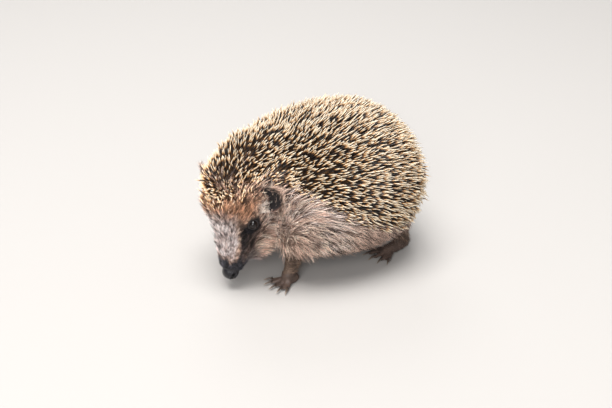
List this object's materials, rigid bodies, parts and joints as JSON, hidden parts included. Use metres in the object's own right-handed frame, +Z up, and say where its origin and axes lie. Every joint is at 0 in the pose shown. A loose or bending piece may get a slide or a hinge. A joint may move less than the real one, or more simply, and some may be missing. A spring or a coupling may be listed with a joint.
{
  "type": "hedgehog",
  "caption": "Life-size young European hedgehog standing low on four feet, head turned to its left with the snout near the ground; banded spines above, coarse fur below",
  "frame": {"origin": "middle of the bounding box in X and Y, on the floor under the soles (Z = 0)", "axes": "the trunk runs along Y with the tail toward +Y and the head toward -Y; the left side of the animal is +X; +Z is up"},
  "size_m": [0.1166, 0.1564, 0.1035],
  "materials": {
    "spines": "banded spines, cream tips over dark brown and tan",
    "fur": "coarse grey-beige to tan fur",
    "muzzle_skin": "short dark slate hair over dark skin",
    "nose_skin": "moist, finely pebbled black skin",
    "eye": "wet black eye",
    "ear_skin": "thin dark skin with short hair",
    "paw_skin": "sparsely haired brown-grey skin",
    "claw": "satin horn"
  },
  "bodies": {
    "root": {"back": "spines", "belly": "fur", "chest": "fur", "crown": "spines", "ear_left": "ear_skin", "ear_right": "ear_skin", "eye_left": "eye", "eye_right": "eye", "face": "fur", "foreclaw_left_1": "claw", "foreclaw_left_2": "claw", "foreclaw_left_3": "claw", "foreclaw_left_4": "claw", "foreclaw_left_5": "claw", "foreclaw_right_1": "claw", "foreclaw_right_2": "claw", "foreclaw_right_3": "claw", "foreclaw_right_4": "claw", "foreclaw_right_5": "claw", "forefoot_left": "paw_skin", "forefoot_right": "paw_skin", "foreleg_left": "fur", "foreleg_right": "fur", "haunches": "fur", "hindclaw_left_1": "claw", "hindclaw_left_2": "claw", "hindclaw_left_3": "claw", "hindclaw_left_4": "claw", "hindclaw_left_5": "claw", "hindclaw_right_1": "claw", "hindclaw_right_2": "claw", "hindclaw_right_3": "claw", "hindclaw_right_4": "claw", "hindclaw_right_5": "claw", "hindfoot_left": "paw_skin", "hindfoot_right": "paw_skin", "hindleg_left": "fur", "hindleg_right": "fur", "lower_jaw": "muzzle_skin", "muzzle": "muzzle_skin", "nape": "spines", "nose": "nose_skin", "rump": "spines", "shoulders": "spines", "tail": "fur", "throat": "fur"}
  },
  "joints": []
}
